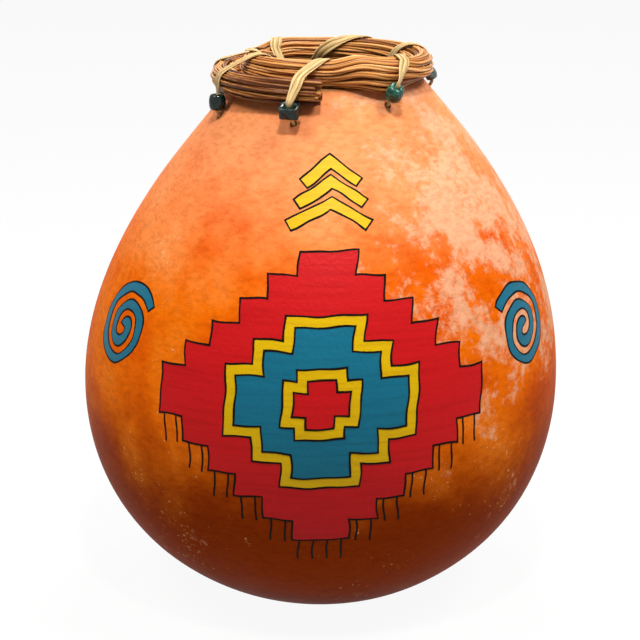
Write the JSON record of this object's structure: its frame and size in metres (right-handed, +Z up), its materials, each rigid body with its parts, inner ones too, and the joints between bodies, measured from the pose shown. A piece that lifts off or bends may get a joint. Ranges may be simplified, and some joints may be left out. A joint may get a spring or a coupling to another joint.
{
  "type": "painted gourd vessel",
  "caption": "Hollow painted gourd vessel with a coiled stem rim, lashed on through the shell with raffia that carries stone beads free to spin.",
  "frame": {"origin": "centre of the flat base, on the surface it stands on", "axes": "+Z up along the gourd's axis; -Y is the painted front, where the coil's cut ends lie; +X is to the right of someone facing the front"},
  "size_m": [0.236, 0.236, 0.2744],
  "materials": {
    "gourd": "dyed and painted dried gourd shell, satin varnish",
    "stems": "dried plant stems, waxy gloss",
    "raffia": "dried raffia leaf strip",
    "bead_stone": "polished dark green stone"
  },
  "bodies": {
    "vessel": {"gourd_shell": "gourd", "rim_stem_01": "stems", "rim_stem_02": "stems", "rim_stem_03": "stems", "rim_stem_04": "stems", "rim_stem_05": "stems", "rim_stem_06": "stems", "rim_stem_07": "stems", "rim_stem_08": "stems", "rim_stem_09": "stems", "rim_stem_10": "stems", "rim_stem_11": "stems", "rim_stem_12": "stems", "rim_stem_13": "stems", "rim_stem_14": "stems", "rim_stem_15": "stems", "rim_stem_16": "stems", "rim_stem_17": "stems", "rim_stem_18": "stems", "rim_stem_19": "stems", "raffia_lashing": "raffia"},
    "bead_1_body": {"bead_1": "bead_stone"},
    "bead_2_body": {"bead_2": "bead_stone"},
    "bead_3_body": {"bead_3": "bead_stone"},
    "bead_4_body": {"bead_4": "bead_stone"},
    "bead_5_body": {"bead_5": "bead_stone"},
    "bead_6_body": {"bead_6": "bead_stone"},
    "bead_7_body": {"bead_7": "bead_stone"}
  },
  "joints": [
    {"name": "bead_1_spin", "type": "hinge", "parent": "vessel", "child": "bead_1_body", "pos_m": [0.0538, 0.00773, 0.25815], "axis": [-0.3378, -0.0535, 0.9397], "continuous": true},
    {"name": "bead_2_spin", "type": "hinge", "parent": "vessel", "child": "bead_2_body", "pos_m": [0.02888, 0.04492, 0.2597], "axis": [-0.0815, -0.1533, 0.9848], "continuous": true},
    {"name": "bead_3_spin", "type": "hinge", "parent": "vessel", "child": "bead_3_body", "pos_m": [-0.02238, 0.04557, 0.25607], "axis": [0.0359, -0.0598, 0.9976], "continuous": true},
    {"name": "bead_4_spin", "type": "hinge", "parent": "vessel", "child": "bead_4_body", "pos_m": [-0.04762, 0.02454, 0.24947], "axis": [0.1574, -0.0734, 0.9848], "continuous": true},
    {"name": "bead_5_spin", "type": "hinge", "parent": "vessel", "child": "bead_5_body", "pos_m": [-0.04867, -0.02278, 0.24937], "axis": [0.0642, 0.0273, 0.9976], "continuous": true},
    {"name": "bead_6_spin", "type": "hinge", "parent": "vessel", "child": "bead_6_body", "pos_m": [-0.01386, -0.05804, 0.25146], "axis": [-0.1257, -0.3868, 0.9135], "continuous": true},
    {"name": "bead_7_spin", "type": "hinge", "parent": "vessel", "child": "bead_7_body", "pos_m": [0.03441, -0.04706, 0.25771], "axis": [0.3115, -0.4985, 0.809], "continuous": true}
  ]
}
